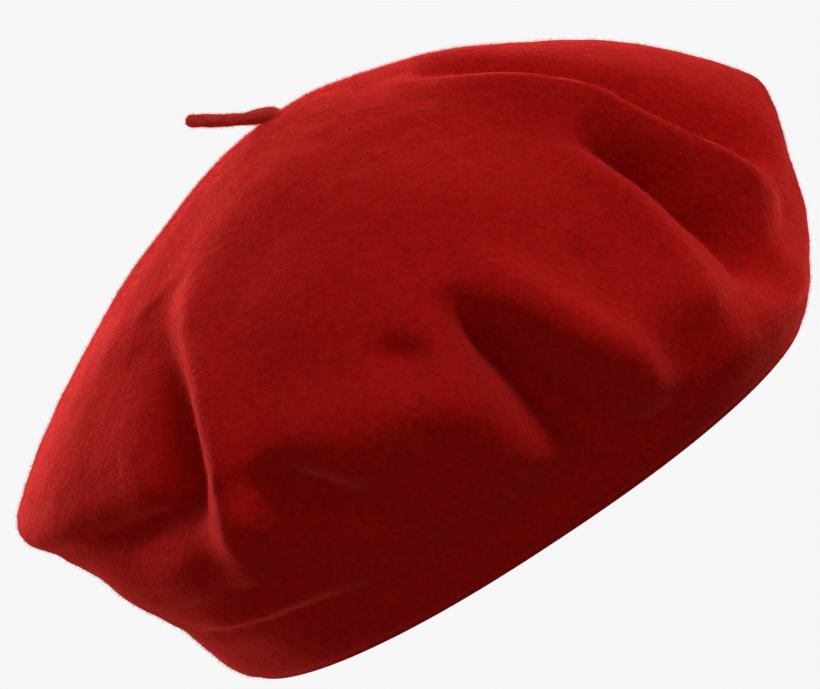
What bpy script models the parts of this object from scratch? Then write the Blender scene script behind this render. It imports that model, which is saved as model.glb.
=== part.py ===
"""A wool beret standing on its hem: one felted shell with a turned-in hem, its stalk, and the sweatband
sewn inside with its bow, its line of stitching and a blank care label.

Metres, +Z up. The origin is the middle of the head opening, in the plane that the hem stands on.
-Y is the side with the three big folds, and the crown leans out furthest towards -X.
Angles go round from the front (-Y), positive towards +X.
"""

import bmesh
import bpy
import numpy as np
from mathutils import Vector

MM = 0.001

# Driving dimensions
HEM_LONG = 94.5 * MM  # half the head opening's long axis (X), to the outside of the hem
HEM_SHORT = 90.5 * MM  # half its short axis (Y)
HEM_POWER = 2.25  # 2 is an ellipse, more is squarer
HEIGHT = 126.5 * MM  # hem to the middle of the crown
APEX = (-2 * MM, 10 * MM)  # where the crown's middle sits over the opening
HEART = (0.0, 4 * MM, 52 * MM)  # folds push the felt away from this point, or towards it
FELT = 2.0 * MM  # thickness
HEM_GAP = 0.7 * MM  # between the band and the hem turned in against it
HEM_TURN_IN = 10 * MM
HEM_ROUND = 1.2 * MM
CLEAR = 0.3 * MM  # kept between touching pieces

BAND_TAPE = 0.8 * MM  # thickness of the sweatband
BAND_FOOT = 2.5 * MM
BAND_TOP = 27 * MM
BAND_LEAN = 1.5 * MM  # its top stands this much wider than the hem turned in behind its foot
BAND_BACK = 90.0  # the angle where its two ends meet
BAND_JOIN = 1.2 * MM  # the gap between those ends
THREAD = 0.3 * MM  # radius
THREAD_HEIGHT = 4 * MM

BOW_HEIGHT = 16 * MM
BOW = (11 * MM, 4.2 * MM, 1.4 * MM)  # half width, half height of its loops, half height of its knot
BOW_THICK = 1.2 * MM

LABEL = (20 * MM, 16 * MM, 0.5 * MM)  # width, height, thickness
LABEL_ANGLE = 122.0
LABEL_FOOT = 5.6 * MM
LABEL_LEAN = 3.5  # degrees outwards, so that it falls back against the sweatband

STALK_RADIUS = 1.75 * MM
# along the stalk from its root: (x, z) in mm; it leans to -X and curves up
STALK_PATH = ((0, 0), (-4.5, 1.6), (-9.5, 4.0), (-14.5, 7.0), (-19.5, 10.2))

FELT_ANGLES = 66
FELT_RINGS = 24
TAPE_ANGLES = 60

# The band above the hem: height, lean outwards, in mm
BAND = ((HEM_ROUND / MM, 0.0), (3, 2.4), (8, 5.0), (14, 6.7))

# The rim, going round: angle, radius, height (mm), how far the underside bellies out at one third
# and at two thirds of the way up to the rim, and how full the dome is
RIM = (
    (-165, 123, 59, 0.42, 0.76, 1.80),
    (-140, 125, 60, 0.46, 0.80, 1.70),
    (-115, 126, 66, 0.30, 0.66, 1.50),
    (-92, 127, 68, 0.14, 0.48, 1.45),
    (-76, 124, 64, 0.26, 0.60, 1.55),
    (-58, 118, 57, 0.50, 0.80, 1.80),
    (-40, 118, 58, 0.46, 0.76, 1.90),
    (-22, 119, 55, 0.46, 0.78, 1.90),
    (-4, 118, 50, 0.50, 0.80, 1.90),
    (11, 113, 43, 0.56, 0.84, 1.90),
    (26, 110, 38, 0.68, 0.90, 1.90),
    (44, 108, 36, 0.70, 0.92, 1.88),
    (64, 107, 37, 0.72, 0.92, 1.82),
    (82, 114, 43, 0.68, 0.90, 1.74),
    (102, 124, 56, 0.52, 0.84, 1.74),
    (125, 125, 58, 0.48, 0.80, 1.74),
    (150, 123, 58, 0.42, 0.78, 1.74),
    (172, 123, 59, 0.40, 0.76, 1.78),
)
RIM_SHARE = 0.8  # below 1 it rounds the dome's shoulder
DOME_SHARES = (0.955, 0.84, 0.68, 0.5, 0.3, 0.12, 0.0)

# Each fold is a line on the felt with a cross-section, sharper as its power falls below 2.
# Its points are: angle, way up the felt from the hem, push outwards, half width (mm)
FOLDS = (
    ("left_pillar", 1.7, ((-46, 139, 0, 12), (-41, 122, 4, 10), (-36, 101, 7, 9), (-33, 80, 9, 9),
                          (-33, 64, 10, 8), (-37, 50, 8, 8), (-42, 36, 0, 8))),
    ("left_hollow", 1.8, ((-60, 136, 0, 16), (-52, 118, -6, 14), (-47, 98, -11, 12), (-44, 80, -14, 11),
                          (-44, 68, -12, 9), (-45, 58, 0, 8))),
    ("left_crease", 1.6, ((-86, 68, 0, 4), (-74, 66, -5, 5), (-62, 65, -8, 5),
                          (-48, 63, -12, 6), (-39, 62, 0, 6))),
    ("left_lower_bulge", 2.0, ((-78, 46, 0, 8), (-66, 46, 3, 9), (-56, 46, 5, 9),
                               (-48, 46, 5, 9), (-38, 40, 0, 8))),
    ("pillar_shadow", 1.8, ((-33, 72, 0, 6), (-29, 63, -10, 7), (-25, 55, -13, 8),
                            (-21, 45, -7, 9), (-15, 34, 0, 9))),
    ("centre_bulge", 2.0, ((-34, 78, 0, 8), (-22, 73, 3, 10), (-12, 69, 4, 11),
                           (-5, 66, 4, 9), (3, 62, 0, 8))),
    ("deep_valley", 2.4, ((7, 88, 0, 6), (7, 77, -10, 6), (8, 64, -20, 8),
                          (9, 51, -23, 9), (11.5, 35, -17, 10), (15, 20, -5, 9), (17, 8, 0, 8))),
    ("right_bulge", 2.2, ((13, 96, 0, 8), (16, 78, 4, 8), (18, 62, 8, 8),
                          (20, 46, 10, 9), (22, 31, 8, 9), (24, 16, 0, 9))),
    ("right_cheek", 2.0, ((26, 56, 0, 12), (32, 42, 5, 13), (38, 32, 5, 13), (46, 26, 0, 12))),
    ("right_pillar", 2.0, ((52, 100, 0, 8), (48, 84, 4, 8), (44.5, 69, 6, 8),
                           (42, 57, 6, 8), (39, 44, 4, 9), (36, 30, 0, 9))),
    ("right_valley", 2.4, ((59, 94, 0, 6), (56, 81, -12, 7), (54.5, 67, -24, 8), (54, 52, -20, 8),
                           (54, 38, -19, 9), (54, 26, -6, 9), (53, 17, 0, 8))),
    ("near_ridge", 1.5, ((72, 158, 0, 9), (65, 128, 6, 8), (64, 108, 11, 8), (62, 90, 14, 8),
                         (62, 70, 13, 8), (65, 52, 10, 8), (72, 34, 0, 8))),
    ("far_groove", 1.9, ((86, 158, 0, 10), (79, 130, -9, 9), (78, 107, -17, 10),
                         (78, 86, -21, 11), (78, 63, -19, 10), (79, 42, 0, 9))),
    ("right_droop", 2.0, ((18, 13, 0, 7), (28, 15, 4, 8), (44, 16, 6, 8),
                          (64, 16, 5, 8), (84, 16, 2, 8), (100, 15, 0, 7))),
    ("back_valley_right", 2.0, ((148, 113, 0, 15), (152, 84, -10, 13),
                                (149, 59, -14, 12), (143, 36, 0, 10))),
    ("back_ridge", 1.8, ((178, 132, 0, 15), (172, 94, 5, 13), (168, 69, 7, 12), (162, 44, 0, 10))),
    ("back_valley_left", 2.0, ((-158, 116, 0, 15), (-154, 84, -9, 14),
                               (-150, 59, -12, 12), (-144, 38, 0, 10))),
    ("left_back_ridge", 1.8, ((-120, 116, 0, 14), (-126, 84, 5, 13),
                              (-130, 63, 6, 12), (-136, 42, 0, 10))),
)


def clear_scene():
    for obj in list(bpy.data.objects):
        bpy.data.objects.remove(obj, do_unlink=True)


def principled(name, color, roughness):
    material = bpy.data.materials.new(name)
    material.use_nodes = True
    shader = material.node_tree.nodes["Principled BSDF"]
    shader.inputs["Base Color"].default_value = (*color, 1.0)
    shader.inputs["Roughness"].default_value = roughness
    return material


def put(name, data, collection, material):
    data.materials.append(material)
    obj = bpy.data.objects.new(name, data)
    collection.objects.link(obj)
    return obj


def smooth(obj):
    obj.data.shade_smooth()
    obj.data.set_sharp_from_angle(angle=np.radians(40))


# The felt's shape ---------------------------------------------------------------------------------


def hermite(a, b, slope_a, slope_b, t):
    """The smooth curve from a to b at t, 0 to 1, with the slopes given per whole span."""
    return (
        a * (1 + 2 * t) * (1 - t) ** 2
        + b * t * t * (3 - 2 * t)
        + slope_a * t * (1 - t) ** 2
        + slope_b * t * t * (t - 1)
    )


def around(table, angles):
    """A table's rows at these angles, eased from one row to the next all the way round."""
    rows = np.array(table, float)
    at = np.concatenate([rows[-2:, 0] - 360, rows[:, 0], rows[:2, 0] + 360])
    values = np.concatenate([rows[-2:, 1:], rows[:, 1:], rows[:2, 1:]])
    slope = np.zeros_like(values)
    slope[1:-1] = (values[2:] - values[:-2]) / (at[2:] - at[:-2])[:, None]
    angles = (np.asarray(angles, float) - rows[0, 0]) % 360 + rows[0, 0]
    k = np.searchsorted(at, angles, side="right") - 1
    span = (at[k + 1] - at[k])[:, None]
    t = (angles - at[k])[:, None] / span
    return hermite(values[k], values[k + 1], slope[k] * span, slope[k + 1] * span, t)


def eased(points, steps):
    """Points (K, N, D) joined along their first axis by a smooth curve, with steps samples a span."""
    gap = np.linalg.norm(np.diff(points, axis=0), axis=2, keepdims=True) ** 0.5 + 1e-9
    chord = np.diff(points, axis=0) / gap
    inner = (chord[:-1] * gap[1:] + chord[1:] * gap[:-1]) / (gap[:-1] + gap[1:])
    slope = np.concatenate([chord[:1], inner, chord[-1:]])
    rows = []
    for k in range(len(points) - 1):
        for t in np.arange(steps) / steps:
            rows.append(hermite(points[k], points[k + 1], slope[k] * gap[k], slope[k + 1] * gap[k], t))
    rows.append(points[-1])
    return np.array(rows)


def hem_radius(turn):
    """The oval of the head opening, to the outside of the hem."""
    wide = np.abs(np.sin(turn) / HEM_LONG) ** HEM_POWER
    deep = np.abs(np.cos(turn) / HEM_SHORT) ** HEM_POWER
    return (wide + deep) ** (-1 / HEM_POWER)


def at_angle(turn, radius, height, share=0.0):
    """Points round the opening; share moves them towards the apex."""
    return np.stack(
        [
            radius * np.sin(turn) + APEX[0] * share,
            -radius * np.cos(turn) + APEX[1] * share,
            height + 0 * turn,
        ],
        axis=-1,
    )


def smooth_felt(angles, rings):
    """The outer face without folds, evenly spaced from the hem up to the apex, and its length."""
    turn = np.radians(angles)
    rim_r, rim_z, low, high, full = around(RIM, angles).T
    rim_r, rim_z = rim_r * MM, rim_z * MM
    foot = hem_radius(turn)
    curve = [at_angle(turn, foot + lean * MM, height * MM) for height, lean in BAND]
    band_z, band_r = BAND[-1][0] * MM, foot + BAND[-1][1] * MM
    for way, belly in ((0.33, low), (0.68, high)):
        radius = band_r + (rim_r - band_r) * belly
        curve.append(at_angle(turn, radius, band_z + (rim_z - band_z) * way, 0.1 * way))
    curve.append(at_angle(turn, rim_r, rim_z, 0.15))
    for share in DOME_SHARES:
        height = rim_z + (HEIGHT - rim_z) * (1 - share**full) ** RIM_SHARE
        curve.append(at_angle(turn, rim_r * share, height, 1 - 0.85 * share))
    fine = eased(np.array(curve), 24)
    steps = np.linalg.norm(np.diff(fine, axis=0), axis=2)
    run = np.concatenate([np.zeros((1, len(turn))), np.cumsum(steps, axis=0)])
    even = np.empty((rings, len(turn), 3))
    for n in range(len(turn)):
        want = np.linspace(0, run[-1, n], rings)
        for axis in range(3):
            even[:, n, axis] = np.interp(want, run[:, n], fine[:, n, axis])
    return even, run[-1]


def on_felt(points):
    """Where (angle, way up the felt in mm) pairs lie on the felt without folds."""
    at = np.array(points, float)
    guide, length = smooth_felt(at[:, 0], 400)
    place = np.clip(at[:, 1] * MM / length * 399, 0, 398.999)
    low = place.astype(int)
    part = (place - low)[:, None]
    n = np.arange(len(at))
    return guide[low, n] * (1 - part) + guide[low + 1, n] * part


def fold_push(felt, power, points):
    """How far one fold pushes each point of the felt outwards."""
    table = np.array(points, float)
    line = np.concatenate([on_felt(table[:, :2]), table[:, 2:] * MM], axis=1)
    line = eased(line[:, None, :], 10)[:, 0]
    nearest = np.full(felt.shape[:-1], 1e9)
    height = np.zeros(felt.shape[:-1])
    for start, stop in zip(line[:-1], line[1:]):
        way = stop[:3] - start[:3]
        t = np.clip((felt - start[:3]) @ way / max(way @ way, 1e-12), 0, 1)
        gap = np.linalg.norm(felt - start[:3] - t[..., None] * way, axis=-1)
        gap /= start[4] + (stop[4] - start[4]) * t
        near = gap < nearest
        nearest = np.where(near, gap, nearest)
        height = np.where(near, start[3] + (stop[3] - start[3]) * t, height)
    return height * np.exp(-(nearest**power))


def folded_felt(angles, rings):
    felt = smooth_felt(angles, rings)[0]
    outwards = felt - np.array(HEART)
    outwards /= np.linalg.norm(outwards, axis=2, keepdims=True)
    push = sum(fold_push(felt, power, points) for _, power, points in FOLDS)
    return felt + outwards * push[..., None]


def turned_hem(angles):
    """The hem's rings below the band, from the top of the part turned in, down and across the foot."""
    turn = np.radians(angles)
    outside = hem_radius(turn)
    inside = outside - 2 * FELT - HEM_GAP
    return np.array(
        [
            at_angle(turn, inside, HEM_TURN_IN),
            at_angle(turn, inside, HEM_TURN_IN / 2),
            at_angle(turn, inside, HEM_ROUND),
            at_angle(turn, inside + HEM_ROUND, 0.0),
            at_angle(turn, outside - HEM_ROUND, 0.0),
        ]
    )


# Meshes -------------------------------------------------------------------------------------------


def open_tube(name, rings, closed_round=True):
    """A mesh of quads through rings of points (R, N, 3), open at both ends."""
    mesh = bmesh.new()
    rows = [[mesh.verts.new(Vector(point)) for point in ring] for ring in rings]
    count = len(rows[0])
    for low, high in zip(rows[:-1], rows[1:]):
        for n in range(count if closed_round else count - 1):
            m = (n + 1) % count
            mesh.faces.new((low[n], low[m], high[m], high[n]))
    data = bpy.data.meshes.new(name)
    mesh.to_mesh(data)
    mesh.free()
    return data


def thicken(obj, thickness):
    """A shell whose given surface stays its outer face."""
    shell = obj.modifiers.new("Thickness", "SOLIDIFY")
    shell.thickness = thickness
    shell.offset = -1
    shell.use_even_offset = True


def make_felt(collection, material):
    angles = np.arange(FELT_ANGLES) * 360 / FELT_ANGLES - 180
    crown = folded_felt(angles, FELT_RINGS)
    data = open_tube("felt_body", np.concatenate([turned_hem(angles), crown[:-1]]))
    mesh = bmesh.new()
    mesh.from_mesh(data)
    mesh.verts.ensure_lookup_table()
    top_ring = mesh.verts[-FELT_ANGLES:]
    apex = mesh.verts.new(Vector(crown[-1, 0]))
    for n in range(FELT_ANGLES):
        mesh.faces.new((top_ring[n], top_ring[(n + 1) % FELT_ANGLES], apex))
    mesh.to_mesh(data)
    mesh.free()
    obj = put("felt_body", data, collection, material)
    thicken(obj, FELT)
    smooth(obj)


def make_stalk(collection, material):
    """A felt cord that grows out of the apex; its object's origin is where it bends."""
    curve = bpy.data.curves.new("stalk", "CURVE")
    curve.dimensions = "3D"
    curve.bevel_depth = STALK_RADIUS
    curve.bevel_resolution = 2
    curve.use_fill_caps = True
    path = eased(np.array(STALK_PATH, float)[:, None, :] * MM, 3)[:, 0]
    spline = curve.splines.new("POLY")
    spline.points.add(len(path) - 1)
    for n, (x, z) in enumerate(path):
        spline.points[n].co = (x, 0, z, 1)
        spline.points[n].radius = 0.6 if n == len(path) - 1 else 1.0
    obj = put("stalk", curve, collection, material)
    obj.location = (APEX[0], APEX[1], HEIGHT + STALK_RADIUS + CLEAR)


def tape_inside(height):
    """The sweatband's inner face at this height, as a shrink of the hem's oval."""
    share = max(0, height - HEM_TURN_IN) / (BAND_TOP - HEM_TURN_IN)
    return -2 * FELT - HEM_GAP - CLEAR - BAND_TAPE + BAND_LEAN * share


def make_sweatband(collection, material):
    reach = 180 - np.degrees(BAND_JOIN / 2 / HEM_LONG)
    turn = np.radians(BAND_BACK + np.linspace(-reach, reach, TAPE_ANGLES))
    rings = []
    for height in (BAND_TOP, HEM_TURN_IN, BAND_FOOT):
        rings.append(at_angle(turn, hem_radius(turn) + tape_inside(height), height))
    obj = put("sweatband", open_tube("sweatband", rings, closed_round=False), collection, material)
    thicken(obj, BAND_TAPE)
    smooth(obj)


def make_stitching(collection, material):
    curve = bpy.data.curves.new("sweatband_stitching", "CURVE")
    curve.dimensions = "3D"
    curve.bevel_depth = THREAD
    curve.bevel_resolution = 1
    turn = np.radians(np.arange(TAPE_ANGLES) * 360 / TAPE_ANGLES)
    radius = hem_radius(turn) + tape_inside(THREAD_HEIGHT) - THREAD - CLEAR
    spline = curve.splines.new("POLY")
    spline.points.add(TAPE_ANGLES - 1)
    for point, place in zip(spline.points, at_angle(turn, radius, THREAD_HEIGHT)):
        point.co = (*place, 1)
    spline.use_cyclic_u = True
    put("sweatband_stitching", curve, collection, material)


def facing_in(obj, angle, height, away):
    """Stands a flat piece, drawn in its own XY plane, against the sweatband with its face to the middle."""
    turn = np.radians(angle)
    radius = hem_radius(turn) + tape_inside(height) - away
    obj.location = at_angle(turn, radius, height)
    obj.rotation_euler = (np.radians(90), 0, turn)


def make_bow(collection, material):
    wide, tall, waist = BOW
    outline = bpy.data.curves.new("sweatband_bow", "CURVE")
    outline.dimensions = "2D"
    outline.fill_mode = "BOTH"
    outline.extrude = BOW_THICK / 2
    half = ((-wide, tall * 0.75), (-wide * 0.6, tall), (-wide * 0.2, waist), (wide * 0.2, waist),
            (wide * 0.6, tall), (wide, tall * 0.75))
    points = half + tuple((x, -y) for x, y in reversed(half))
    spline = outline.splines.new("POLY")
    spline.points.add(len(points) - 1)
    for point, (x, y) in zip(spline.points, points):
        point.co = (x, y, 0, 1)
    spline.use_cyclic_u = True
    obj = put("sweatband_bow", outline, collection, material)
    facing_in(obj, BAND_BACK, BOW_HEIGHT, BOW_THICK / 2 + 4 * CLEAR)


def make_label(collection, material):
    """A blank label caught in the stitching; its object's origin is the edge that it turns on."""
    width, height, thick = LABEL
    mesh = bmesh.new()
    bmesh.ops.create_cube(mesh, size=1)
    bmesh.ops.scale(mesh, verts=mesh.verts, vec=(width, height, thick))
    bmesh.ops.translate(mesh, verts=mesh.verts, vec=(0, height / 2, 0))
    data = bpy.data.meshes.new("care_label")
    mesh.to_mesh(data)
    mesh.free()
    obj = put("care_label", data, collection, material)
    facing_in(obj, LABEL_ANGLE, LABEL_FOOT, thick / 2 + 5 * CLEAR)
    obj.rotation_euler[0] += np.radians(LABEL_LEAN)


def main():
    clear_scene()
    beret = bpy.data.collections.new("beret")
    bpy.context.scene.collection.children.link(beret)
    red_felt = principled("red_felt", (0.27, 0.006, 0.006), 0.95)
    make_felt(beret, red_felt)
    make_stalk(beret, red_felt)
    make_sweatband(beret, principled("black_ribbon", (0.012, 0.011, 0.012), 0.6))
    make_stitching(beret, principled("red_thread", (0.3, 0.01, 0.01), 0.5))
    make_bow(beret, principled("black_satin", (0.015, 0.013, 0.014), 0.35))
    make_label(beret, principled("white_satin", (0.75, 0.73, 0.68), 0.5))


main()
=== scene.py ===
"""The looks of a red wool beret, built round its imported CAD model: the folded felt shell with its nap,
the stalk, and the ribbon sweatband, bow, stitches and blank label inside.

Metres, +Z up. The origin is the middle of the head opening, -Y is the front and angles go round from
there, positive towards +X.
"""

import bpy
import numpy as np
from mathutils import Matrix, Vector


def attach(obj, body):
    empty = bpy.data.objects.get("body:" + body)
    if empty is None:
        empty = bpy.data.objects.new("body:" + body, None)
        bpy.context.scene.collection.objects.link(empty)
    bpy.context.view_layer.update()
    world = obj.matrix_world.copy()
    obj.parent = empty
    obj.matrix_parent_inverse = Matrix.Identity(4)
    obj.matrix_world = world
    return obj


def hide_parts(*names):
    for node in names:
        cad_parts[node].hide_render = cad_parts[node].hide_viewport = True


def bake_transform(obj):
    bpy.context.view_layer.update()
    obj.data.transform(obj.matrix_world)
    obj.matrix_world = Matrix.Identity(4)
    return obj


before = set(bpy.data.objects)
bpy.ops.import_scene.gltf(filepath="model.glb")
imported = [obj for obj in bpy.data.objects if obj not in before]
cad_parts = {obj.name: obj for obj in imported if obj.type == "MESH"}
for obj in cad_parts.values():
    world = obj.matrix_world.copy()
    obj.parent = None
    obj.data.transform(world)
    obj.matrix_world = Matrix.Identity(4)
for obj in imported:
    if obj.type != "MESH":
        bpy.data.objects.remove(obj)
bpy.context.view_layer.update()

MM = 0.001
SEED = 7

# The felt, as the CAD model has it
HEIGHT = 126.5 * MM
HEM_LONG = 94.5 * MM
HEM_SHORT = 90.5 * MM
HEM_POWER = 2.25
APEX = (-2 * MM, 10 * MM)
HEART = (0.0, 4 * MM, 52 * MM)  # folds push the felt away from this point, or towards it
FELT = 2.0 * MM
HEM_GAP = 0.7 * MM
HEM_TURN_IN = 10 * MM
HEM_ROUND = 1.2 * MM
CLEAR = 0.3 * MM

FELT_ANGLES = 288
FELT_RINGS = 160
GUIDE_RINGS = 400  # of the unfolded felt that the folds' lines are laid on
# How uneven the felt is between its folds: depth, wavelength, number of waves
UNEVEN = ((0.5 * MM, 38 * MM, 20), (0.12 * MM, 11 * MM, 24))
STEADY_BELOW = 20 * MM  # the unevenness fades out from here down to the hem

# The ribbon sweatband, its stitches, bow and label, placed as in the CAD model. Its tape and thread are
# a little thinner than there, and the waist of its bow a little wider.
CAD_TAPE = 0.8 * MM  # thickness of the CAD model's sweatband; the ribbon lies on its inner face
BAND_TAPE = 0.7 * MM
BAND_FOOT = 2.5 * MM
BAND_TOP = 27 * MM
BAND_LEAN = 1.5 * MM
BAND_BACK = 90.0
BAND_RUN = 0.955  # the ribbon's way round as a share of the hem's
BAND_LAP = 5 * MM  # how far its upper end lies over its lower one
LAP_LIFT = 0.95 * MM
LAP_STARTS = 2.2  # how many laps before its end the upper end starts to rise
LAP_RISES = 0.9  # over how many laps it rises
SELVEDGE = (0.9 * MM, 0.4 * MM)  # the ribbon's plain edge, and how far its ribs take to begin
SELVEDGE_ROLL = (0.16 * MM, 1.1 * MM)  # how far its rolled edge stands out, and the roll's width
RIB = 1.1 * MM  # from one rib of the ribbon to the next
RIB_DEPTH = 0.13 * MM
RIB_POINTS = 4
PUCKER = (0.14 * MM, 0.9 * MM)  # how deep each stitch pulls the ribbon, and how far from its line
BAND_WAVER = (0.35 * MM, 46 * MM, 12)  # of its free edge: depth, wavelength, number of waves
BAND_FREE = (9 * MM, 16 * MM)  # the height where its wavering begins, and how much higher it is full
STITCHES = 150
STITCH_HEIGHT = 4 * MM
STITCH_SHARE = 0.33  # half a stitch's length as a share of the way to the next
STITCH_RISE = (0.34 * MM, 0.22 * MM)  # a stitch's arch, and how deep its ends dip
STITCH_UNEVEN = (0.12 * MM, 0.1 * MM)  # how far stitches stray in height and in slant
THREAD = 0.26 * MM  # radius
BOW_HEIGHT = 16 * MM
BOW = (4.2 * MM, 1.5 * MM)  # half height of its loops and of its waist
# One loop of the bow from above, out along the sweatband and back (mm)
BOW_LOOP = ((0, 0.1), (3, 0.05), (7, 0.05), (10, 0.25), (11, 0.95),
            (9.8, 1.75), (7, 2.0), (3.4, 1.75), (0, 1.1))
BOW_AWAY = 1.1 * MM  # from the sweatband to the back of the bow
LOOP_OPENS = 8.5 * MM  # how far out a loop has its full height
LOOP_PUCKER = (0.24 * MM, 4.5 * MM)  # its gathers at the waist, and how far out they reach
BOW_RIBBON = 0.3 * MM
KNOT = (2.3 * MM, 1.5 * MM, 1.9 * MM)  # half its height, half its depth and half its ribbon's width
KNOT_AWAY = 1.3 * MM
KNOT_PUCKER = 0.1 * MM
KNOT_RIBBON = 0.35 * MM
KNOT_POINTS = 28
LABEL = (20 * MM, 16 * MM)
LABEL_ANGLE = 122.0
LABEL_FOOT = 5.6 * MM
LABEL_LEAN = 3.5
LABEL_AWAY = 1.6 * MM
LABEL_FOLD = 0.32 * MM  # radius of the fold at its top
LABEL_CLOTH = 0.16 * MM
LABEL_GAPE = 0.25 * MM  # how far its two layers stand apart in the middle
LABEL_CURL = 0.9 * MM  # at its free corners
LABEL_WAVER = 0.15 * MM

# The stalk's middle line from the felt at the apex: x, z and radius (mm)
STALK = ((0.7, -0.5, 3.0), (0.3, 0.3, 2.8), (-1.2, 1.4, 2.35), (-3.8, 2.7, 2.0), (-7.8, 4.6, 1.8),
         (-12.0, 7.0, 1.8), (-16.0, 9.6, 1.85), (-19.2, 11.6, 1.95))
STALK_SIDES = 24
STALK_SWAY = (0.25 * MM, 4 * MM)  # how far it sways sideways, and its run for one radian of the swing
STALK_UNEVEN = (0.12 * MM, 4 * MM, 16)  # depth, wavelength, number of waves

# The nap: fibres a piece, how long they are, how far they lean (degrees) and how thick at the root
NAP_COUNT = 45000
NAP_LENGTH = (0.5 * MM, 1.5 * MM)
NAP_LEAN = (15, 75)
NAP_THICK = 0.04 * MM
STALK_NAP_COUNT = 2600
STALK_NAP_LENGTH = (0.4 * MM, 1.1 * MM)
STALK_NAP_LEAN = (15, 70)

# The band above the hem: height, lean outwards, in mm
BAND = ((HEM_ROUND / MM, 0.0), (3, 2.4), (8, 5.0), (14, 6.7))

# The rim, going round: angle, radius, height (mm), how far the underside bellies out at one third
# and at two thirds of the way up to the rim, and how full the dome is
RIM = (
    (-165, 123, 59, 0.42, 0.76, 1.80),
    (-140, 125, 60, 0.46, 0.80, 1.70),
    (-115, 126, 66, 0.30, 0.66, 1.50),
    (-92, 127, 68, 0.14, 0.48, 1.45),
    (-76, 124, 64, 0.26, 0.60, 1.55),
    (-58, 118, 57, 0.50, 0.80, 1.80),
    (-40, 118, 58, 0.46, 0.76, 1.90),
    (-22, 119, 55, 0.46, 0.78, 1.90),
    (-4, 118, 50, 0.50, 0.80, 1.90),
    (11, 113, 43, 0.56, 0.84, 1.90),
    (26, 110, 38, 0.68, 0.90, 1.90),
    (44, 108, 36, 0.70, 0.92, 1.88),
    (64, 107, 37, 0.72, 0.92, 1.82),
    (82, 114, 43, 0.68, 0.90, 1.74),
    (102, 124, 56, 0.52, 0.84, 1.74),
    (125, 125, 58, 0.48, 0.80, 1.74),
    (150, 123, 58, 0.42, 0.78, 1.74),
    (172, 123, 59, 0.40, 0.76, 1.78),
)
RIM_SHARE = 0.8  # below 1 it rounds the dome's shoulder
DOME_SHARES = (0.955, 0.84, 0.68, 0.5, 0.3, 0.12, 0.0)

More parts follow.
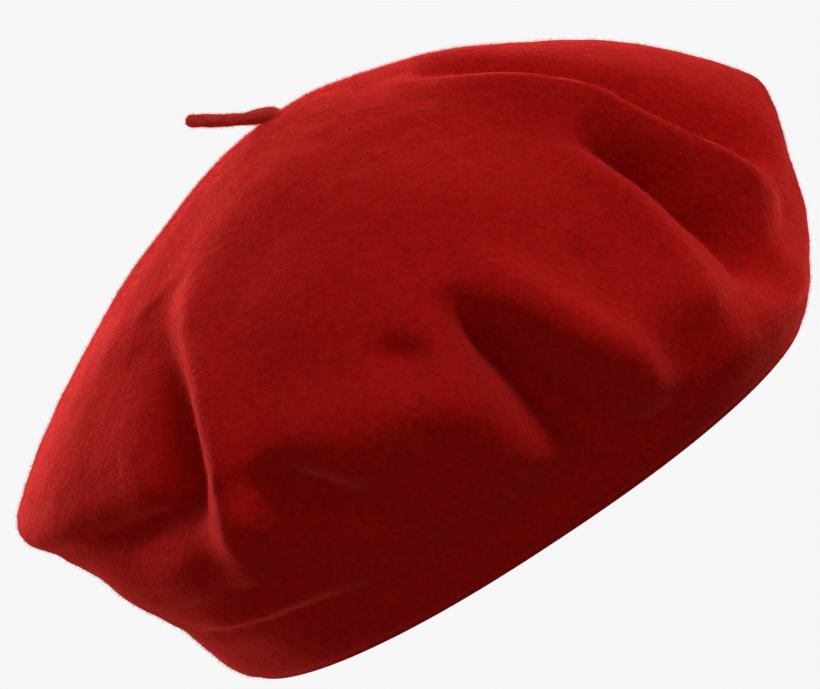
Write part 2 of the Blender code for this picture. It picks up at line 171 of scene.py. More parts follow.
# Each fold is a line on the felt with a cross-section, sharper as its power falls below 2.
# Its points are: angle, way up the felt from the hem, push outwards, half width (mm).
# The CAD model has the same folds, without centre_dimple, centre_rib, right_dimple and the two of the band.
FOLDS = (
    ("left_pillar", 1.7, ((-46, 139, 0, 12), (-41, 122, 4, 10), (-36, 101, 7, 9), (-33, 80, 9, 9),
                          (-33, 64, 10, 8), (-37, 50, 8, 8), (-42, 36, 0, 8))),
    ("left_hollow", 1.8, ((-60, 136, 0, 16), (-52, 118, -6, 14), (-47, 98, -11, 12), (-44, 80, -14, 11),
                          (-44, 68, -12, 9), (-45, 58, 0, 8))),
    ("left_crease", 1.6, ((-86, 68, 0, 4), (-74, 66, -5, 5), (-62, 65, -8, 5),
                          (-48, 63, -12, 6), (-39, 62, 0, 6))),
    ("left_lower_bulge", 2.0, ((-78, 46, 0, 8), (-66, 46, 3, 9), (-56, 46, 5, 9),
                               (-48, 46, 5, 9), (-38, 40, 0, 8))),
    ("pillar_shadow", 1.8, ((-33, 72, 0, 6), (-29, 63, -10, 7), (-25, 55, -13, 8),
                            (-21, 45, -7, 9), (-15, 34, 0, 9))),
    ("centre_bulge", 2.0, ((-34, 78, 0, 8), (-22, 73, 3, 10), (-12, 69, 4, 11),
                           (-5, 66, 4, 9), (3, 62, 0, 8))),
    ("centre_dimple", 2.0, ((-9, 86, 0, 7), (-6, 80, -7, 7), (-3, 74, -7, 7), (0, 66, 0, 7))),
    ("centre_rib", 2.0, ((-4, 88, 0, 8), (-2, 72, 2, 9), (-1, 56, 3, 9), (0, 40, 3, 9), (1, 24, 0, 9))),
    ("deep_valley", 2.4, ((7, 88, 0, 6), (7, 77, -10, 6), (8, 64, -20, 8),
                          (9, 51, -23, 9), (11.5, 35, -17, 10), (15, 20, -5, 9), (17, 8, 0, 8))),
    ("right_bulge", 2.2, ((13, 96, 0, 8), (16, 78, 4, 8), (18, 62, 8, 8),
                          (20, 46, 10, 9), (22, 31, 8, 9), (24, 16, 0, 9))),
    ("right_cheek", 2.0, ((26, 56, 0, 12), (32, 42, 5, 13), (38, 32, 5, 13), (46, 26, 0, 12))),
    ("right_dimple", 2.0, ((26, 70, 0, 5), (29, 66, -3, 6), (31, 62, 0, 5))),
    ("right_pillar", 2.0, ((52, 100, 0, 8), (48, 84, 4, 8), (44.5, 69, 6, 8),
                           (42, 57, 6, 8), (39, 44, 4, 9), (36, 30, 0, 9))),
    ("right_valley", 2.4, ((59, 94, 0, 6), (56, 81, -12, 7), (54.5, 67, -24, 8), (54, 52, -20, 8),
                           (54, 38, -19, 9), (54, 26, -6, 9), (53, 17, 0, 8))),
    ("near_ridge", 1.5, ((72, 158, 0, 9), (65, 128, 6, 8), (64, 108, 11, 8), (62, 90, 14, 8),
                         (62, 70, 13, 8), (65, 52, 10, 8), (72, 34, 0, 8))),
    ("far_groove", 1.9, ((86, 158, 0, 10), (79, 130, -9, 9), (78, 107, -17, 10),
                         (78, 86, -21, 11), (78, 63, -19, 10), (79, 42, 0, 9))),
    ("band_roll", 2.0, ((-72, 34, 0, 5), (-60, 33, 1, 5), (-50, 31, 4, 5),
                        (-38, 29, 3, 5), (-24, 27, 0, 5))),
    ("band_crease", 1.7, ((-76, 27, 0, 3), (-62, 25, -2, 3), (-50, 23, -3, 3),
                          (-38, 21, -2, 3), (-24, 19, 0, 3))),
    ("right_droop", 2.0, ((18, 13, 0, 7), (28, 15, 4, 8), (44, 16, 6, 8),
                          (64, 16, 5, 8), (84, 16, 2, 8), (100, 15, 0, 7))),
    ("back_valley_right", 2.0, ((148, 113, 0, 15), (152, 84, -10, 13),
                                (149, 59, -14, 12), (143, 36, 0, 10))),
    ("back_ridge", 1.8, ((178, 132, 0, 15), (172, 94, 5, 13), (168, 69, 7, 12), (162, 44, 0, 10))),
    ("back_valley_left", 2.0, ((-158, 116, 0, 15), (-154, 84, -9, 14),
                               (-150, 59, -12, 12), (-144, 38, 0, 10))),
    ("left_back_ridge", 1.8, ((-120, 116, 0, 14), (-126, 84, 5, 13),
                              (-130, 63, 6, 12), (-136, 42, 0, 10))),
)

# The camera looks along +Y, a little down, and is rolled so that the beret leans over in the picture
CAMERA_TARGET = Vector((-4.6 * MM, 0, 51.5 * MM))
CAMERA_DISTANCE = 1.4
CAMERA_ELEVATION = 9.7
CAMERA_ROLL = 33.5
PICTURE_WIDTH = 233.7 * MM  # what the picture's width spans at the target
SENSOR = 36.0
GROUND = 0.923  # the plain ground's brightness
GROUND_HEIGHT = -0.4 * MM
LIT_POINT = Vector((0, 0, 60 * MM))  # what every light faces


# The felt's shape ---------------------------------------------------------------------------------


def hermite(a, b, slope_a, slope_b, t):
    """The smooth curve from a to b at t, 0 to 1, with the slopes given per whole span."""
    return (
        a * (1 + 2 * t) * (1 - t) ** 2
        + b * t * t * (3 - 2 * t)
        + slope_a * t * (1 - t) ** 2
        + slope_b * t * t * (t - 1)
    )


def around(table, angles):
    """A table's rows at these angles, eased from one row to the next all the way round."""
    rows = np.array(table, float)
    at = np.concatenate([rows[-2:, 0] - 360, rows[:, 0], rows[:2, 0] + 360])
    values = np.concatenate([rows[-2:, 1:], rows[:, 1:], rows[:2, 1:]])
    slope = np.zeros_like(values)
    slope[1:-1] = (values[2:] - values[:-2]) / (at[2:] - at[:-2])[:, None]
    angles = (np.asarray(angles, float) - rows[0, 0]) % 360 + rows[0, 0]
    k = np.searchsorted(at, angles, side="right") - 1
    span = (at[k + 1] - at[k])[:, None]
    t = (angles - at[k])[:, None] / span
    return hermite(values[k], values[k + 1], slope[k] * span, slope[k + 1] * span, t)


def eased(points, steps):
    """Points (K, N, D) joined along their first axis by a smooth curve, with steps samples a span."""
    gap = np.linalg.norm(np.diff(points, axis=0), axis=2, keepdims=True) ** 0.5 + 1e-9
    chord = np.diff(points, axis=0) / gap
    inner = (chord[:-1] * gap[1:] + chord[1:] * gap[:-1]) / (gap[:-1] + gap[1:])
    slope = np.concatenate([chord[:1], inner, chord[-1:]])
    rows = []
    for k in range(len(points) - 1):
        for t in np.arange(steps) / steps:
            rows.append(hermite(points[k], points[k + 1], slope[k] * gap[k], slope[k + 1] * gap[k], t))
    rows.append(points[-1])
    return np.array(rows)


def hem_radius(turn):
    """The oval of the head opening, to the outside of the hem."""
    wide = np.abs(np.sin(turn) / HEM_LONG) ** HEM_POWER
    deep = np.abs(np.cos(turn) / HEM_SHORT) ** HEM_POWER
    return (wide + deep) ** (-1 / HEM_POWER)


def at_angle(turn, radius, height, share=0.0):
    """Points round the opening; share moves them towards the apex."""
    return np.stack(
        [
            radius * np.sin(turn) + APEX[0] * share,
            -radius * np.cos(turn) + APEX[1] * share,
            height + 0 * turn,
        ],
        axis=-1,
    )


def smooth_felt(angles, rings):
    """The outer face without folds, evenly spaced from the hem up to the apex, and its length."""
    turn = np.radians(angles)
    rim_r, rim_z, low, high, full = around(RIM, angles).T
    rim_r, rim_z = rim_r * MM, rim_z * MM
    foot = hem_radius(turn)
    curve = [at_angle(turn, foot + lean * MM, height * MM) for height, lean in BAND]
    band_z, band_r = BAND[-1][0] * MM, foot + BAND[-1][1] * MM
    for way, belly in ((0.33, low), (0.68, high)):
        radius = band_r + (rim_r - band_r) * belly
        curve.append(at_angle(turn, radius, band_z + (rim_z - band_z) * way, 0.1 * way))
    curve.append(at_angle(turn, rim_r, rim_z, 0.15))
    for share in DOME_SHARES:
        height = rim_z + (HEIGHT - rim_z) * (1 - share**full) ** RIM_SHARE
        curve.append(at_angle(turn, rim_r * share, height, 1 - 0.85 * share))
    fine = eased(np.array(curve), 24)
    steps = np.linalg.norm(np.diff(fine, axis=0), axis=2)
    run = np.concatenate([np.zeros((1, len(turn))), np.cumsum(steps, axis=0)])
    even = np.empty((rings, len(turn), 3))
    for n in range(len(turn)):
        want = np.linspace(0, run[-1, n], rings)
        for axis in range(3):
            even[:, n, axis] = np.interp(want, run[:, n], fine[:, n, axis])
    return even, run[-1]


def on_felt(points):
    """Where (angle, way up the felt in mm) pairs lie on the felt without folds."""
    at = np.array(points, float)
    guide, length = smooth_felt(at[:, 0], GUIDE_RINGS)
    place = np.clip(at[:, 1] * MM / length * (GUIDE_RINGS - 1), 0, GUIDE_RINGS - 1.001)
    low = place.astype(int)
    part = (place - low)[:, None]
    n = np.arange(len(at))
    return guide[low, n] * (1 - part) + guide[low + 1, n] * part


def fold_push(felt, power, points):
    """How far one fold pushes each point of the felt outwards."""
    table = np.array(points, float)
    line = np.concatenate([on_felt(table[:, :2]), table[:, 2:] * MM], axis=1)
    line = eased(line[:, None, :], 10)[:, 0]
    reach = line[:, 4].max() * 3
    beside = (felt > line[:, :3].min(axis=0) - reach) & (felt < line[:, :3].max(axis=0) + reach)
    beside = beside.all(axis=-1)
    spots = felt[beside]
    nearest = np.full(len(spots), 1e9)
    height = np.zeros(len(spots))
    for start, stop in zip(line[:-1], line[1:]):
        way = stop[:3] - start[:3]
        t = np.clip((spots - start[:3]) @ way / max(way @ way, 1e-12), 0, 1)
        gap = np.linalg.norm(spots - start[:3] - t[:, None] * way, axis=1)
        gap /= start[4] + (stop[4] - start[4]) * t
        near = gap < nearest
        nearest = np.where(near, gap, nearest)
        height = np.where(near, start[3] + (stop[3] - start[3]) * t, height)
    push = np.zeros(felt.shape[:-1])
    push[beside] = height * np.exp(-(nearest**power))
    return push


def ripple(points, wavelength, waves, rng):
    """Smooth noise of about -1 to 1: many plane waves of one length in random directions."""
    ways = rng.normal(size=(waves, 3))
    ways *= 2 * np.pi / wavelength / np.linalg.norm(ways, axis=1, keepdims=True)
    shifts = rng.uniform(0, 2 * np.pi, waves)
    total = np.zeros(points.shape[:-1])
    for way, shift in zip(ways, shifts):
        total += np.cos(points @ way + shift)
    return total / np.sqrt(waves)


def folded_felt(angles, rings):
    rng = np.random.default_rng(SEED)
    felt = smooth_felt(angles, rings)[0]
    outwards = felt - np.array(HEART)
    outwards /= np.linalg.norm(outwards, axis=2, keepdims=True)
    push = sum(fold_push(felt, power, points) for _, power, points in FOLDS)
    free = np.clip(felt[..., 2] / STEADY_BELOW, 0, 1)
    for depth, wavelength, waves in UNEVEN:
        push += free * depth * ripple(felt, wavelength, waves, rng)
    return felt + outwards * push[..., None]


def turned_hem(angles):
    """The hem's rings below the band, from the top of the part turned in, down and across the foot."""
    turn = np.radians(angles)
    outside = hem_radius(turn)
    inside = outside - 2 * FELT - HEM_GAP
    rows = [at_angle(turn, inside, height) for height in np.linspace(HEM_TURN_IN, HEM_ROUND, 7)]
    for bend in np.radians((30, 60, 90)):
        rows.append(at_angle(turn, inside + HEM_ROUND * (1 - np.cos(bend)), HEM_ROUND * (1 - np.sin(bend))))
    for bend in np.radians((90, 60, 30)):
        rows.append(at_angle(turn, outside - HEM_ROUND * (1 - np.cos(bend)), HEM_ROUND * (1 - np.sin(bend))))
    return np.array(rows)


# Meshes -------------------------------------------------------------------------------------------


def link(name, data, material):
    data.materials.append(material)
    obj = bpy.data.objects.new(name, data)
    bpy.context.scene.collection.objects.link(obj)
    return obj


def mesh_of(name, points, faces):
    data = bpy.data.meshes.new(name)
    data.from_pydata([tuple(p) for p in points], [], faces)
    data.validate()
    data.shade_smooth()
    return data


def ring_faces(rings, count, closed_round=True):
    faces = []
    for r in range(rings - 1):
        for n in range(count if closed_round else count - 1):
            m = (n + 1) % count
            faces.append((r * count + n, r * count + m, (r + 1) * count + m, (r + 1) * count + n))
    return faces


def thicken(obj, thickness):
    """Adds thickness behind the given surface, on the side its normals point away from."""
    shell = obj.modifiers.new("Thickness", "SOLIDIFY")
    shell.thickness = thickness
    shell.offset = -1
    shell.use_even_offset = True


def thicken_both_ways(obj, thickness):
    """A thin cloth, with half its thickness to each side of the given surface."""
    shell = obj.modifiers.new("Thickness", "SOLIDIFY")
    shell.thickness = thickness
    shell.offset = 0


def make_felt(crown, angles, material):
    rings = np.concatenate([turned_hem(angles), crown[:-1]])
    points = np.concatenate([rings.reshape(-1, 3), crown[-1, :1]])
    faces = ring_faces(len(rings), FELT_ANGLES)
    apex = len(points) - 1
    last = apex - FELT_ANGLES
    faces += [(last + n, last + (n + 1) % FELT_ANGLES, apex) for n in range(FELT_ANGLES)]
    obj = link("felt_shell", mesh_of("felt_shell", points, faces), material)
    thicken(obj, FELT)
    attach(obj, "root")
    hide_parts("felt_body")


def tube(path, radii, sides):
    """Points and faces of a closed tube along a path (K, 3), with a ring for each point."""
    path = np.asarray(path, float)
    along = np.gradient(path, axis=0)
    along /= np.linalg.norm(along, axis=1, keepdims=True)
    across = np.cross(along[0], (0.3, 1.0, 0.2))
    points = []
    round_turn = np.arange(sides) * 2 * np.pi / sides
    for spot, way, radius in zip(path, along, radii):
        across = across - way * (across @ way)
        across /= np.linalg.norm(across)
        third = np.cross(way, across)
        ring = np.cos(round_turn)[:, None] * across + np.sin(round_turn)[:, None] * third
        points.append(spot + ring * radius)
    faces = ring_faces(len(path), sides)
    faces.append(tuple(reversed(range(sides))))
    faces.append(tuple(range((len(path) - 1) * sides, len(path) * sides)))
    return np.concatenate(points), faces


def gathered(parts):
    """Several (points, faces) as one."""
    points, faces, count = [], [], 0
    for some, theirs in parts:
        points.append(some)
        faces += [tuple(n + count for n in face) for face in theirs]
        count += len(some)
    return np.concatenate(points), faces


def rounded_end(radius, steps=6):
    """How far along and how wide the rings of a half-round end are."""
    bend = np.linspace(0, 1, steps, endpoint=False)[1:] * np.pi / 2
    return radius * np.sin(bend), radius * np.cos(bend)


def normals_of(grid):
    """Unit normals of a grid of points that closes round its second axis."""
    up = np.gradient(grid, axis=0)
    sideways = np.roll(grid, -1, axis=1) - np.roll(grid, 1, axis=1)
    normal = np.cross(sideways, up)
    return normal / np.maximum(np.linalg.norm(normal, axis=2, keepdims=True), 1e-12)


def scattered(grid, count, rng):
    """Points spread evenly by area over a grid that closes round its second axis, with their normals."""
    normals = normals_of(grid)
    beside, above = np.roll(grid, -1, axis=1), np.roll(grid, -1, axis=0)
    area = np.linalg.norm(np.cross(beside - grid, above - grid), axis=2)[:-1]
    cell = rng.choice(area.size, count, p=area.ravel() / area.sum())
    row, column = np.divmod(cell, grid.shape[1])
    following = (column + 1) % grid.shape[1]
    u, v = rng.uniform(size=(2, count, 1))
    spots = (grid[row, column] * (1 - u) + grid[row, following] * u) * (1 - v)
    spots += (grid[row + 1, column] * (1 - u) + grid[row + 1, following] * u) * v
    return spots, normals[row, column]


def spikes(spots, normals, lengths, thick, lean, rng):
    """Fibres as closed spikes: three corners sunk in the felt, and a tip."""
    count = len(spots)
    loose = rng.normal(size=(count, 3))
    flat = loose - normals * np.sum(loose * normals, axis=1, keepdims=True)
    flat /= np.linalg.norm(flat, axis=1, keepdims=True)
    tilt = np.radians(rng.uniform(*lean, size=(count, 1)))
    way = normals * np.cos(tilt) + flat * np.sin(tilt)
    side = np.cross(normals, flat)
    root = spots - normals * thick * 2
    corners = [root + thick * (side * np.cos(a) + flat * np.sin(a)) for a in np.radians((90, 210, 330))]
    tips = spots + way * lengths[:, None]
    points = np.stack([*corners, tips], axis=1).reshape(-1, 3)
    first = np.arange(count)[:, None, None] * 4
    faces = first + np.array([(0, 2, 1), (0, 1, 3), (1, 2, 3), (2, 0, 3)])
    return points, faces.reshape(-1, 3)


def fast_mesh(name, points, triangles):
    data = bpy.data.meshes.new(name)
    data.vertices.add(len(points))
    data.vertices.foreach_set("co", points.astype(np.float32).ravel())
    data.loops.add(triangles.size)
    data.loops.foreach_set("vertex_index", triangles.astype(np.int32).ravel())
    data.polygons.add(len(triangles))
    data.polygons.foreach_set("loop_start", np.arange(0, triangles.size, 3, dtype=np.int32))
    data.update(calc_edges=True)
    data.validate()
    return data


def make_nap(felt, material):
    """Short loose fibres all over the outside of the felt, in three pieces."""
    rng = np.random.default_rng(SEED + 1)
    third = len(felt) // 3
    for name, start, stop in (
        ("nap_underside", 0, third),
        ("nap_shoulder", third, 2 * third),
        ("nap_crown", 2 * third, len(felt) - 1),
    ):
        spots, normals = scattered(felt[start : stop + 1], NAP_COUNT, rng)
        lengths = rng.uniform(*NAP_LENGTH, size=len(spots))
        points, faces = spikes(spots, normals, lengths, NAP_THICK, NAP_LEAN, rng)
        obj = link(name, fast_mesh(name, points, faces), material)
        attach(obj, "root")
        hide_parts("felt_body")


def make_stalk(material, fuzz):
    """A felt cord that grows out of the apex, thicker at its root and round at its tip."""
    line = eased(np.array(STALK)[:, None, :] * MM, 6)[:, 0]
    way = line[-1, :2] - line[-2, :2]
    way /= np.linalg.norm(way)
    reach, radii = rounded_end(line[-1, 2])
    tip = [(*(line[-1, :2] + way * r), width) for r, width in zip(reach, radii)]
    line = np.concatenate([line, tip])
    rng = np.random.default_rng(SEED + 2)
    base = np.array((APEX[0], APEX[1], HEIGHT))
    sway, swing = STALK_SWAY
    path = base + np.stack([line[:, 0], sway * np.sin(line[:, 0] / swing), line[:, 1]], axis=1)
    points, faces = tube(path, line[:, 2], STALK_SIDES)
    depth, wavelength, waves = STALK_UNEVEN
    points += depth * ripple(points, wavelength, waves, rng)[:, None] * (0.3, 1, 1)
    obj = link("stalk_cord", mesh_of("stalk_cord", points, faces), material)
    grid = points.reshape(len(path), STALK_SIDES, 3)
    hairs, normals = scattered(grid, STALK_NAP_COUNT, rng)
    lengths = rng.uniform(*STALK_NAP_LENGTH, size=len(hairs))
    points, faces = spikes(hairs, normals, lengths, NAP_THICK, STALK_NAP_LEAN, rng)
    nap = link("nap_stalk", fast_mesh("nap_stalk", points, faces), fuzz)
    for piece in (obj, nap):
        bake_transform(piece)
        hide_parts("stalk")


def tape_inside(height):
    """The sweatband's inner face at these heights, as a shrink of the hem's oval."""
    share = np.clip(height - HEM_TURN_IN, 0, None) / (BAND_TOP - HEM_TURN_IN)
    return -2 * FELT - HEM_GAP - CLEAR - CAD_TAPE + BAND_LEAN * share


def ribbon_rows():
    """Heights across the sweatband's ribbon from its top edge to its foot, closer at both edges."""
    edge = np.array((0, 0.25, 0.6, 1.0, 1.3)) * MM
    tall = BAND_TOP - BAND_FOOT
    inset = 2.2 * MM
    rows = np.concatenate([edge, np.linspace(inset, tall - inset, 12), tall - edge[::-1]])
    return rows[::-1] + BAND_FOOT


def ribbon_relief(height, turn):
    """How far the ribbon's surface stands inwards at this height: ribs, rolled edges, puckers and waver."""
    from_edge = min(height - BAND_FOOT, BAND_TOP - height)
    plain, begins = SELVEDGE
    ribbed = np.clip((from_edge - plain) / begins, 0, 1)
    relief = ribbed * RIB_DEPTH * (0.5 + 0.5 * np.cos(np.arange(len(turn)) * 2 * np.pi / RIB_POINTS))
    stands, roll = SELVEDGE_ROLL
    relief += (1 - ribbed) * stands * np.sin(np.pi * np.clip(from_edge / roll, 0, 1)) ** 0.5
    depth, reach = PUCKER
    pull = np.exp(-(((height - STITCH_HEIGHT) / reach) ** 2))
    relief -= depth * pull * (0.5 + 0.5 * np.cos(turn * STITCHES))
    free = np.clip((height - BAND_FREE[0]) / BAND_FREE[1], 0, 1)
    spots = at_angle(turn, np.full_like(turn, HEM_LONG), 0.0)
    depth, wavelength, waves = BAND_WAVER
    return relief + free * depth * ripple(spots, wavelength, waves, np.random.default_rng(SEED + 3))


def make_sweatband(material):
    """A grosgrain ribbon, puckered by its stitches, whose upper end laps over the lower."""
    length = np.pi * (HEM_LONG + HEM_SHORT) * BAND_RUN
    count = int(length / RIB) * RIB_POINTS
    lap = BAND_LAP / HEM_LONG
    turn = np.radians(BAND_BACK) + np.linspace(-lap / 2, 2 * np.pi + lap / 2, count)
    laps_left = (1 - np.linspace(0, 1, count)) * 2 * np.pi / lap
    over = np.clip((LAP_STARTS - laps_left) / LAP_RISES, 0, 1)
    over = over * over * (3 - 2 * over) * LAP_LIFT
    rings = []
    for height in ribbon_rows():
        radius = hem_radius(turn) + tape_inside(height) - ribbon_relief(height, turn) - over
        rings.append(at_angle(turn, radius, height))
    points = np.array(rings)
    faces = ring_faces(len(rings), count, closed_round=False)
    obj = link("ribbon_sweatband", mesh_of("ribbon_sweatband", points.reshape(-1, 3), faces), material)
    thicken(obj, BAND_TAPE)
    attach(obj, "root")
    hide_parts("sweatband")


def make_stitches(material):
    """Separate running stitches that hold the ribbon, each dipping into it at both ends."""
    parts = []
    steps = np.linspace(-1, 1, 11)
    arch, dip = STITCH_RISE
    stray, slant = STITCH_UNEVEN
    for n in range(STITCHES):
        middle = (n + 0.5) * 2 * np.pi / STITCHES
        turn = middle + steps * STITCH_SHARE * 2 * np.pi / STITCHES
        lift = arch * (1 - steps**4) - dip
        height = STITCH_HEIGHT + stray * np.sin(5.1 * n) + steps * slant * np.cos(3.7 * n)
        path = at_angle(turn, hem_radius(turn) + tape_inside(STITCH_HEIGHT) - lift, 0.0)
        path[:, 2] = height
        radii = THREAD * np.sqrt(np.clip(1.04 - np.abs(steps) ** 6, 0.05, 1))
        parts.append(tube(path, radii, 8))
    obj = link("hem_stitches", mesh_of("hem_stitches", *gathered(parts)), material)
    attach(obj, "root")
    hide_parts("sweatband_stitching")


def facing_in(angle, height, away):
    """Places a piece drawn in its own XY plane against the sweatband, with +Z to the middle."""
    turn = np.radians(angle)
    place = at_angle(turn, hem_radius(turn) + tape_inside(height) - away, height)
    return Matrix.Translation(place) @ Matrix.Rotation(turn, 4, "Z") @ Matrix.Rotation(np.pi / 2, 4, "X")


def ribbon_strip(name, path, half_widths, puckers, thickness, material, closed=False):
    """A ribbon along a path in the XZ plane, (K, 2), its width along Y."""
    across = np.linspace(-1, 1, 13)
    rings = []
    for (x, z), half, pucker in zip(path, half_widths, puckers):
        lift = pucker * np.cos(across * 2.5 * np.pi)
        rings.append(np.stack([x + 0 * across, across * half, z + lift], axis=1))
    points = np.array(rings)
    faces = ring_faces(len(rings), len(across), closed_round=False)
    if closed:
        last = (len(rings) - 1) * len(across)
        faces += [(last + n, last + n + 1, n + 1, n) for n in range(len(across) - 1)]
    obj = link(name, mesh_of(name, points.reshape(-1, 3), faces), material)
    thicken_both_ways(obj, thickness)
    return obj


def make_bow(material):
    """A small flat bow over the join: a loop of ribbon to each side and a knot round the middle."""
    tall, waist = BOW
    place = facing_in(BAND_BACK, BOW_HEIGHT, BOW_AWAY)
    gather, reach = LOOP_PUCKER
    for name, side in (("bow_loop_left", -1), ("bow_loop_right", 1)):
        path = eased(np.array(BOW_LOOP)[:, None, :] * MM, 5)[:, 0]
        out = np.clip(path[:, 0] / LOOP_OPENS, 0, 1)
        half = waist + (tall - waist) * out * out * (3 - 2 * out)
        pucker = gather * np.exp(-((path[:, 0] / reach) ** 2))
        path[:, 0] *= side
        obj = ribbon_strip(name, path, half, pucker, BOW_RIBBON, material)
        obj.matrix_world = place
        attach(obj, "root")
        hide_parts("sweatband_bow")
    make_knot(place, material)


def make_knot(place, material):
    turn = np.arange(KNOT_POINTS) * 2 * np.pi / KNOT_POINTS
    up, out, half_width = KNOT
    ring = np.stack([up * np.cos(turn), KNOT_AWAY + out * np.sin(turn)], axis=1)
    widths = np.full(KNOT_POINTS, half_width)
    puckers = np.full(KNOT_POINTS, KNOT_PUCKER)
    knot = ribbon_strip("bow_knot", ring, widths, puckers, KNOT_RIBBON, material, closed=True)
    knot.matrix_world = place @ Matrix.Rotation(np.pi / 2, 4, "Z")
    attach(knot, "root")
    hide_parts("sweatband_bow")


def make_label(material):
    """A blank satin label: a strip folded at its top, with both ends caught under the ribbon's stitches."""
    width, height = LABEL
    rise = np.linspace(0, height - LABEL_FOLD, 14)
    turn = np.linspace(0, np.pi, 9)[1:-1]
    line = [(y, -LABEL_FOLD) for y in rise]
    line += [(height - LABEL_FOLD + LABEL_FOLD * np.sin(a), -LABEL_FOLD * np.cos(a)) for a in turn]
    line += [(y, LABEL_FOLD + LABEL_GAPE * np.sin(np.pi * y / height)) for y in rise[::-1]]
    across = np.linspace(-width / 2, width / 2, 25)
    rings = []
    for y, z in line:
        bent = across**2 / (2 * HEM_LONG)
        bent += LABEL_CURL * (y / height) ** 2 * (across / width * 2) ** 4
        bent += LABEL_WAVER * np.sin(across / width * 7 + 1) * y / height
        rings.append(np.stack([across, y + 0 * across, z + bent], axis=1))
    faces = ring_faces(len(rings), len(across), closed_round=False)
    obj = link("satin_label", mesh_of("satin_label", np.array(rings).reshape(-1, 3), faces), material)
    thicken_both_ways(obj, LABEL_CLOTH)
    place = facing_in(LABEL_ANGLE, LABEL_FOOT, LABEL_AWAY)
    obj.matrix_world = place @ Matrix.Rotation(np.radians(LABEL_LEAN), 4, "X")
    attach(obj, "care_label")
    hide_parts("care_label")


# Materials ----------------------------------------------------------------------------------------


class Nodes:
    """A Principled material whose nodes are added one call at a time."""

    def __init__(self, name, color, roughness):
        self.material = bpy.data.materials.new(name)
        self.material.use_nodes = True
        self.tree = self.material.node_tree
        self.shader = self.tree.nodes["Principled BSDF"]
        self.shader.inputs["Base Color"].default_value = (*color, 1.0)
        self.shader.inputs["Roughness"].default_value = roughness

    def add(self, kind, **inputs):
        node = self.tree.nodes.new(kind)
        for key, value in inputs.items():
            self.feed(node.inputs[key.replace("_", " ")], value)
        return node

    def feed(self, socket, value):
        if isinstance(value, bpy.types.NodeSocket):
            self.tree.links.new(value, socket)
        else:
            socket.default_value = value

    def place(self):
        return self.add("ShaderNodeTexCoord").outputs["Object"]

    def noise(self, scale, distortion=0.0):
        node = self.add(
            "ShaderNodeTexNoise",
            Vector=self.place(),
            Scale=scale,
            Detail=2.0,
            Distortion=distortion,
        )
        return node.outputs["Fac"]

    def ramp(self, fac, stops):
        node = self.add("ShaderNodeValToRGB", Fac=fac)
        elements = node.color_ramp.elements
        while len(elements) < len(stops):
            elements.new(0.5)
        for element, (position, color) in zip(elements, stops):
            element.position = position
            element.color = (*color, 1.0)
        return node.outputs["Color"]

    def math(self, operation, a, b):
        node = self.tree.nodes.new("ShaderNodeMath")
        node.operation = operation
        self.feed(node.inputs[0], a)
        self.feed(node.inputs[1], b)
        return node.outputs[0]

    def bump(self, height, distance, strength=1.0, normal=None):
        node = self.add("ShaderNodeBump", Height=height, Distance=distance, Strength=strength)
        if normal is not None:
            self.feed(node.inputs["Normal"], normal)
        return node.outputs["Normal"]


def felt_material(name="red_felt", dark=(0.33, 0.0048, 0.0036), light=(0.46, 0.0068, 0.0055)):
    m = Nodes(name, light, 1.0)
    clump = m.noise(480, 0.6)
    fibre = m.noise(1500, 1.5)
    mix = m.math("ADD", m.math("MULTIPLY", clump, 0.7), m.math("MULTIPLY", fibre, 0.3))
    m.feed(m.shader.inputs["Base Color"], m.ramp(mix, ((0.34, dark), (0.64, light))))
    m.shader.inputs["Specular IOR Level"].default_value = 0.02
    m.shader.inputs["Sheen Weight"].default_value = 1.0
    m.shader.inputs["Sheen Roughness"].default_value = 0.35
    m.shader.inputs["Sheen Tint"].default_value = (1.0, 0.06, 0.05, 1.0)
    fuzz = m.bump(fibre, 0.22 * MM, 0.8)
    m.feed(m.shader.inputs["Normal"], m.bump(clump, 0.5 * MM, 0.7, fuzz))
    return m.material


def nap_material():
    # The fibres are painted a lighter red than the felt they are made of: painted rim glow, standing in for
    # backlight shining through them at the edges.
    m = Nodes("red_nap_painted_glow", (0.8, 0.03, 0.025), 0.9)
    color = m.ramp(m.noise(300), ((0.35, (0.6, 0.012, 0.01)), (0.65, (0.95, 0.05, 0.042))))
    m.feed(m.shader.inputs["Base Color"], color)
    m.shader.inputs["Specular IOR Level"].default_value = 0.1
    return m.material


def ribbon_material():
    m = Nodes("black_grosgrain", (0.013, 0.012, 0.013), 0.55)
    m.shader.inputs["Specular IOR Level"].default_value = 0.35
    m.shader.inputs["Sheen Weight"].default_value = 0.12
    m.shader.inputs["Sheen Roughness"].default_value = 0.4
    m.feed(m.shader.inputs["Normal"], m.bump(m.noise(4200), 0.03 * MM, 0.6))
    return m.material


def satin_material(name, color, roughness):
    m = Nodes(name, color, roughness)
    m.shader.inputs["Specular IOR Level"].default_value = 0.5
    m.feed(m.shader.inputs["Normal"], m.bump(m.noise(3000), 0.02 * MM, 0.5))
    return m.material


def thread_material():
    m = Nodes("red_thread", (0.33, 0.008, 0.008), 0.5)
    m.shader.inputs["Sheen Weight"].default_value = 0.2
    return m.material


def emission_material(name, color):
    material = bpy.data.materials.new(name)
    material.use_nodes = True
    tree = material.node_tree
    tree.nodes.clear()
    glow = tree.nodes.new("ShaderNodeEmission")
    glow.inputs["Color"].default_value = (*color, 1.0)
    tree.links.new(glow.outputs[0], tree.nodes.new("ShaderNodeOutputMaterial").inputs["Surface"])
    return material


# Stage --------------------------------------------------------------------------------------------


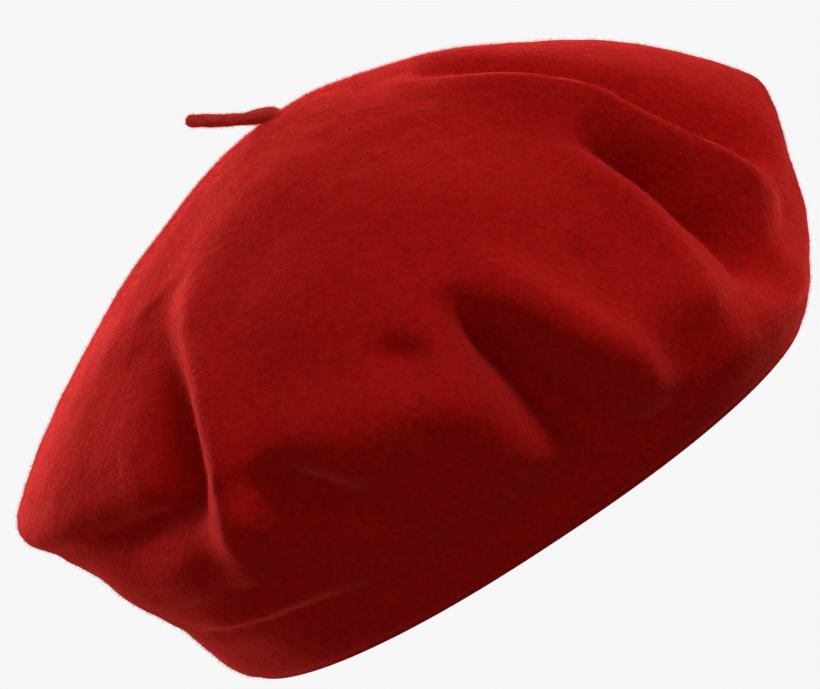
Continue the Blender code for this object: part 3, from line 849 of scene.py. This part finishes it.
def make_camera():
    tilt = np.radians(CAMERA_ELEVATION)
    roll = np.radians(CAMERA_ROLL)
    right = Vector((1, 0, 0))
    forward = Vector((0, np.cos(tilt), -np.sin(tilt)))
    up = right.cross(forward)
    picture_right = right * np.cos(roll) - up * np.sin(roll)
    picture_up = right * np.sin(roll) + up * np.cos(roll)
    data = bpy.data.cameras.new("camera")
    data.sensor_width = SENSOR
    data.lens = SENSOR * CAMERA_DISTANCE / PICTURE_WIDTH
    camera = bpy.data.objects.new("camera", data)
    turned = Matrix((picture_right, picture_up, -forward)).transposed().to_4x4()
    camera.matrix_world = Matrix.Translation(CAMERA_TARGET - forward * CAMERA_DISTANCE) @ turned
    bpy.context.scene.collection.objects.link(camera)
    bpy.context.scene.camera = camera


def camera_only(obj):
    """Shown as a plain ground, without lighting the object from behind or below."""
    obj.visible_diffuse = False
    obj.visible_glossy = False
    obj.visible_transmission = False
    obj.visible_shadow = False


def make_stage():
    pale = emission_material("pale_ground", (GROUND, GROUND, GROUND))
    bpy.ops.mesh.primitive_plane_add(size=8, location=(0, 0, GROUND_HEIGHT))
    floor = bpy.context.object
    floor.name = "floor"
    floor.data.materials.append(pale)
    bpy.ops.mesh.primitive_uv_sphere_add(segments=32, ring_count=16, radius=9)
    backdrop = bpy.context.object
    backdrop.name = "backdrop"
    backdrop.data.materials.append(pale)
    for obj in (floor, backdrop):
        camera_only(obj)


def area_light(name, place, size, power):
    data = bpy.data.lights.new(name, "AREA")
    data.shape = "DISK"
    data.size = size
    data.energy = power
    obj = bpy.data.objects.new(name, data)
    obj.location = place
    obj.rotation_euler = (LIT_POINT - Vector(place)).to_track_quat("-Z", "Y").to_euler()
    bpy.context.scene.collection.objects.link(obj)


def make_lights():
    area_light("key", (0.95, -0.4, 1.15), 0.5, 10.5)
    area_light("fill", (-0.1, -1.6, 0.1), 1.4, 4)
    area_light("back", (-0.5, 1.5, 0.9), 1.6, 52)
    area_light("back_left", (-1.5, 1.1, 0.1), 1.0, 16)
    area_light("back_right", (1.5, 1.1, 0.2), 1.0, 24)
    world = bpy.data.worlds.new("studio")
    world.use_nodes = True
    background = world.node_tree.nodes["Background"]
    background.inputs["Color"].default_value = (1, 1, 1, 1)
    background.inputs["Strength"].default_value = 0.15
    bpy.context.scene.world = world
    bpy.context.scene.view_settings.view_transform = "Standard"


make_camera()
make_stage()
make_lights()
angles = np.arange(FELT_ANGLES) * 360 / FELT_ANGLES - 180
crown = folded_felt(angles, FELT_RINGS)
felt = felt_material()
nap = nap_material()
ribbon = ribbon_material()
make_felt(crown, angles, felt)
make_nap(crown, nap)
make_stalk(felt_material("stalk_felt", (0.46, 0.03, 0.022), (0.6, 0.05, 0.038)), nap)
make_sweatband(ribbon)
make_stitches(thread_material())
make_bow(satin_material("black_satin", (0.014, 0.012, 0.013), 0.35))
make_label(satin_material("white_satin", (0.72, 0.70, 0.64), 0.4))
